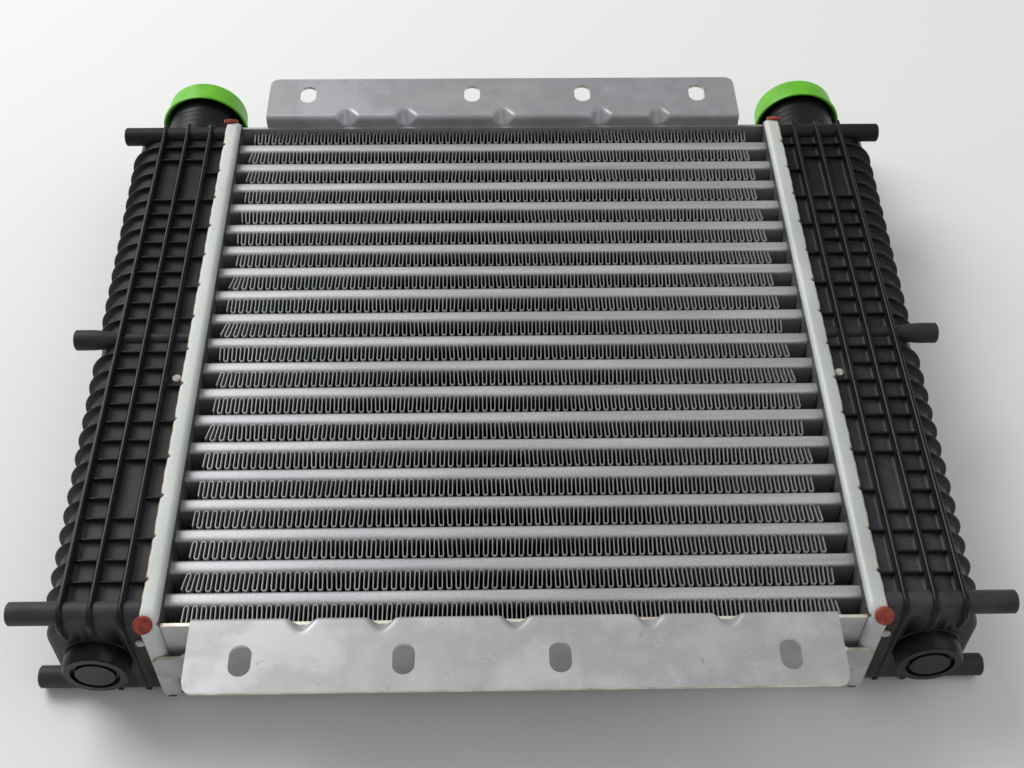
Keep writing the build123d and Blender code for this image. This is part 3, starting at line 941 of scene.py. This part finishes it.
# Side plates: flat aluminium sheets brazed to the outside of the end fins. A joggled tab at each
# end laps the header's end wall. The sheets are mill-finished, with water stains; the cream edges
# carry a painted highlight, and the far sheets are painted darker as painted shade.
sheet_thickness = 0.0015
core_face_y = 0.1585
plate_half_length = 0.1459
sheet_half_height = 0.0275
tab_half_height = 0.008
tab_length = 0.013
tab_rise_gap = 0.002
tab_round = 0.003
tab_rows = 34
tab_columns = 7
# Cut edges: a cream colour, with a painted highlight in the lighter stop.
cream_edge_and_highlight_stops = [(0.3, (0.55, 0.48, 0.38)), (0.6, (0.82, 0.78, 0.68))]


def sheet_finish(name, pale, dull, warm):
    """Mill-finish sheet: grey of three shades in blotchy water stains, small pits, faint scratches."""
    material, nodes, links = new_finish(name, pale, 0.48, 0.5)
    shader = nodes["Principled BSDF"]
    stains = object_noise(nodes, links, 22, detail=6, rough=0.62)
    pits = object_noise(nodes, links, 260, detail=3)
    scratches = object_noise(nodes, links, 130, (0.12, 1, 1), detail=3)
    base = ramp(nodes, links, stains, [(0.38, pale), (0.5, dull), (0.64, warm)])
    pitted = ramp(nodes, links, pits, [(0.26, (0.5, 0.49, 0.46)), (0.34, (1, 1, 1))])
    links.new(mix(nodes, links, "MULTIPLY", 0.4, base, pitted), shader.inputs["Base Color"])
    links.new(spread(nodes, links, scratches, 0.38, 0.58), shader.inputs["Roughness"])
    add_bump(nodes, links, scratches, 0.12, 0.0002)
    return material


def thick_sheet(points, thickness, kept=None):
    """A grid of points as sheet metal: both faces, and a wall with the edge finish at free edges."""
    rows, columns = points.shape[:2]
    along, down = np.gradient(points, axis=0), np.gradient(points, axis=1)
    normal = np.cross(along, down)
    normal /= np.linalg.norm(normal, axis=-1, keepdims=True)
    quads = grid_faces(rows, columns)
    if kept is not None:
        quads = quads[kept.reshape(-1)]
    total = rows * columns
    both = np.concatenate([points.reshape(-1, 3), (points - normal * thickness).reshape(-1, 3)])
    edges = np.concatenate([quads[:, [i, (i + 1) % 4]] for i in range(4)])
    free = edges[~np.isin(edges[:, 0] * total + edges[:, 1], edges[:, 1] * total + edges[:, 0])]
    walls = np.stack([free[:, 1], free[:, 0], free[:, 0] + total, free[:, 1] + total], -1)
    faces = np.concatenate([quads, quads[:, ::-1] + total, walls])
    numbers = np.concatenate([np.zeros(2 * len(quads), int), np.ones(len(walls), int)])
    return both, faces, np.zeros(len(both)), numbers


def side_patches(low, high, outward):
    """The sheet and its two tabs.

    Each tab leaves the sheet in an S, a smooth step along X out to the lap on the header, and its
    free end is rounded by a sixth power of the height.
    """
    face_y = core_face_y * outward + middle_y
    x = np.linspace(-plate_half_length, plate_half_length, 60)
    z = np.linspace(-sheet_half_height, sheet_half_height, 12)
    grid_x, grid_z = np.meshgrid(x, z, indexing="ij")
    sheet = np.stack([grid_x, np.full_like(grid_x, face_y), grid_z + middle_z], -1)
    patches = [thick_sheet(sheet[::-outward], sheet_thickness)]
    lap_y = high.y if outward > 0 else low.y
    for side in (-1, 1):
        end_x = high.x if side > 0 else low.x
        start = plate_half_length - tab_length
        along = np.linspace(start, abs(end_x), tab_rows)
        share = np.clip((along - start) / (plate_half_length - tab_rise_gap - start), 0, 1)
        rise = share * share * (3 - 2 * share)
        y = face_y + (lap_y - face_y) * rise
        tab_z = np.linspace(-tab_half_height, tab_half_height, tab_columns)
        round_end = np.sqrt(np.clip(1 - (tab_z / tab_half_height) ** 6, 0, 1))
        tab_x = np.repeat(along[:, None], tab_columns, 1) - (1 - round_end) * tab_round * share[:, None]
        tab_y = np.repeat(y[:, None], tab_columns, 1)
        tab = np.stack([tab_x * side, tab_y, np.tile(tab_z + middle_z, (tab_rows, 1))], -1)
        patches.append(thick_sheet(tab[:: -side * outward], sheet_thickness))
    return patches


near_sheet = sheet_finish(
    "near_sheet_aluminium", pale=(0.54, 0.545, 0.555), dull=(0.43, 0.43, 0.43), warm=(0.51, 0.51, 0.505),
)
# The far sheets are the same aluminium painted darker: painted shade.
far_sheet_painted_shade = sheet_finish(
    "far_sheet_aluminium_painted_shade", pale=(0.43, 0.435, 0.455), dull=(0.35, 0.355, 0.37), warm=(0.41, 0.41, 0.42),
)
# The edge finish: cream cut edge with a painted highlight.
cream_edge_painted_highlight = patchy_finish("sheet_cream_edge_painted_highlight", 0.4, 0.5, 160, cream_edge_and_highlight_stops)
for end, outward in (("near", -1), ("far", 1)):
    low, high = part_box(f"side_plate_{end}")
    make_piece(
        f"joggled_side_plate_{end}", side_patches(low, high, outward),
        [near_sheet, cream_edge_painted_highlight] if end == "near" else [far_sheet_painted_shade, far_sheet_painted_shade],
        f"side_plate_{end}",
    )

# Brackets: bent aluminium sheets, flat against the side plates. The bend carries five pressed darts;
# the flange has four slots and round outer corners. The near one is the far one turned half round.
bracket_low, bracket_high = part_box("bracket_far")
bracket_half_length = (bracket_high.x - bracket_low.x) / 2
bend_radius = 0.0025
flange_corner = 0.005
flange_keep = 0.02
slot_places = (0.11, 0.045, -0.0175, -0.11)
slot_from_web = 0.02
slot_radius = 0.0045
slot_half_straight = 0.0025
dart_places = (-0.087, -0.0545, 0, 0.0545, 0.087)
dart_reach = 0.007
dart_half_width = 0.0072
dart_roundness = 1.3
dart_softness = 0.0006
dart_rim_share = 6
bracket_columns = 301
bracket_step = 0.0009


def bracket_grid():
    """The bent sheet as a grid: its lines run up the web, round the bend and out along the flange."""
    web = bracket_high.z - bracket_low.z - bend_radius
    flange = bracket_high.y - bracket_low.y - bend_radius
    web_line = np.linspace(-web, 0, int(web / bracket_step))[:-1]
    turn = np.linspace(0, pi / 2, 7)
    flange_line = np.linspace(0, flange, int(flange / bracket_step))[1:]
    bend_out, bend_up = bend_radius * (1 - np.cos(turn)), bend_radius * (np.sin(turn) - 1)
    out = np.concatenate([np.zeros_like(web_line), bend_out, bend_radius + flange_line])
    up = np.concatenate([web_line - bend_radius, bend_up, np.zeros_like(flange_line)])
    x = np.linspace(-bracket_half_length, bracket_half_length, bracket_columns)
    x, out = np.meshgrid(x, out, indexing="ij")
    return x, out, np.tile(up, (bracket_columns, 1))


def slot_gap(x, out):
    """Distance of flange points to the nearest slot's outline, and the way out of that slot."""
    best = np.full(x.shape, 1.0)
    way = np.zeros(x.shape + (2,))
    for place in slot_places:
        dx = x - place
        dy = out - slot_from_web
        dy = dy - np.clip(dy, -slot_half_straight, slot_half_straight)
        reach = np.maximum(np.hypot(dx, dy), 1e-9)
        nearer = reach - slot_radius < best
        best = np.where(nearer, reach - slot_radius, best)
        way = np.where(nearer[..., None], np.stack([dx / reach, dy / reach], -1), way)
    return best, way


def corner_points(cells):
    """Marks the grid points that are a corner of at least one marked cell."""
    rows, columns = cells.shape
    marked = np.zeros((rows + 1, columns + 1), bool)
    for i, j in ((0, 0), (0, 1), (1, 0), (1, 1)):
        marked[i : i + rows, j : j + columns] |= cells
    return marked


def bracket_patches(turn_round):
    """The bent sheet with slots cut, corners rounded and darts pressed in, in its place.

    The flange's lines are drawn in to a circle at both corners. Cells whose middle is in a slot are
    left out, and the points round them are moved onto the slot's outline. A dart moves the bend in,
    halfway between web and flange, as far as a rounded sine across the dart asks.
    """
    x, out, up = bracket_grid()
    from_end = bracket_half_length - np.abs(x)
    cut = np.clip(flange_corner - from_end, 0, flange_corner)
    reach_out = bracket_high.y - bracket_low.y - flange_corner + np.sqrt(flange_corner**2 - cut**2)
    share = np.clip((out - flange_keep) / (out.max() - flange_keep), 0, 1)
    out = np.where(out > flange_keep, flange_keep + share * (reach_out - flange_keep), out)
    gap, way = slot_gap(x, out)
    centre_gap = (gap[1:, 1:] + gap[:-1, :-1] + gap[1:, :-1] + gap[:-1, 1:]) / 4
    kept = centre_gap > 0
    rim = corner_points(kept) & corner_points(~kept)
    x = np.where(rim, x - gap * way[..., 0], x)
    out = np.where(rim, out - gap * way[..., 1], out)
    depth = np.zeros_like(x)
    for place in dart_places:
        share = np.clip(1 - np.abs(x - place) / dart_half_width, 0, 1)
        missing = dart_reach * np.sin(share * pi / 2) ** dart_roundness - (out - up)
        softened = dart_softness * np.logaddexp(0, missing / dart_softness)
        depth = np.maximum(depth, softened * np.minimum(share * dart_rim_share, 1))
    out, up = out + depth / 2, up - depth / 2
    side = -1 if turn_round else 1
    y = (core_face_y + out) * side + middle_y
    points = np.stack([x * side, y, up + bracket_high.z], -1)
    return [thick_sheet(points, sheet_thickness, kept)]


# The far bracket takes the darker sheet, painted shade; both brackets take the cream edge with its
# painted highlight.
for end, turn_round in (("near", True), ("far", False)):
    make_piece(
        f"slotted_bracket_{end}", bracket_patches(turn_round),
        [near_sheet if end == "near" else far_sheet_painted_shade, cream_edge_painted_highlight],
        f"bracket_{end}", sharp=50.0,
    )

# Photo stage: a floor of plain pale paper, on which the cooler lies on its back. Soft studio light
# comes from a large lamp at the far left and a weaker one at the near right, in a white room.


def floor_finish():
    """Matt off-white paper."""
    material, nodes, links = new_finish("floor_paper", (0.86, 0.86, 0.86), 0.9)
    grain = object_noise(nodes, links, 30)
    links.new(spread(nodes, links, grain, 0.85, 0.95), nodes["Principled BSDF"].inputs["Roughness"])
    return material


floor_mesh = bpy.data.meshes.new("floor")
floor_mesh.from_pydata([(-6, -6, 0), (6, -6, 0), (6, 6, 0), (-6, 6, 0)], [], [(0, 1, 2, 3)])
floor_mesh.materials.append(floor_finish())
new_object("floor", floor_mesh)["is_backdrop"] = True

world = bpy.data.worlds.new("studio")
world.use_nodes = True
world.node_tree.nodes["Background"].inputs["Color"].default_value = (1, 1, 1, 1)
world.node_tree.nodes["Background"].inputs["Strength"].default_value = 0.36
bpy.context.scene.world = world
bpy.context.scene.view_settings.view_transform = "Standard"


def area_light(name, place, target, size, power):
    """A square soft light at a place, aimed at a target."""
    light = bpy.data.lights.new(name, "AREA")
    light.shape = "SQUARE"
    light.size = size
    light.energy = power
    lamp = new_object(name, light)
    lamp.location = place
    lamp.rotation_euler = (Vector(target) - Vector(place)).to_track_quat("-Z", "Y").to_euler()


area_light("key", (-1.36, 1.12, 1.52), (0, 0, 0.03), 1.5, 41)
area_light("fill", (1.44, -0.48, 1.92), (0, 0, 0.03), 1.9, 10)

# Camera: where the photo was taken from, by its fit to the core's corners. It stands before the
# near bracket and looks down on the core's upper face.
camera = new_object("photo_camera", bpy.data.cameras.new("photo_camera"))
camera.data.lens = 47.837
camera.data.sensor_width = 36.0
camera_place = (-0.01113, -0.4498, 0.55274)
camera_yaw, camera_tilt, camera_roll = radians(-1.698), radians(50), radians(-0.754)
forward = Vector((0, cos(camera_tilt), -sin(camera_tilt)))
down = Vector((0, -sin(camera_tilt), -cos(camera_tilt)))
turn_yaw = Matrix.Rotation(camera_yaw, 3, "Z")
forward, down, right = turn_yaw @ forward, turn_yaw @ down, turn_yaw @ Vector((1, 0, 0))
rolled_right = right * cos(camera_roll) + down * sin(camera_roll)
rolled_down = down * cos(camera_roll) - right * sin(camera_roll)
view = Matrix((rolled_right, -rolled_down, -forward)).transposed().to_4x4()
camera.matrix_world = Matrix.Translation(camera_place) @ view
bpy.context.scene.camera = camera

low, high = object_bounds()
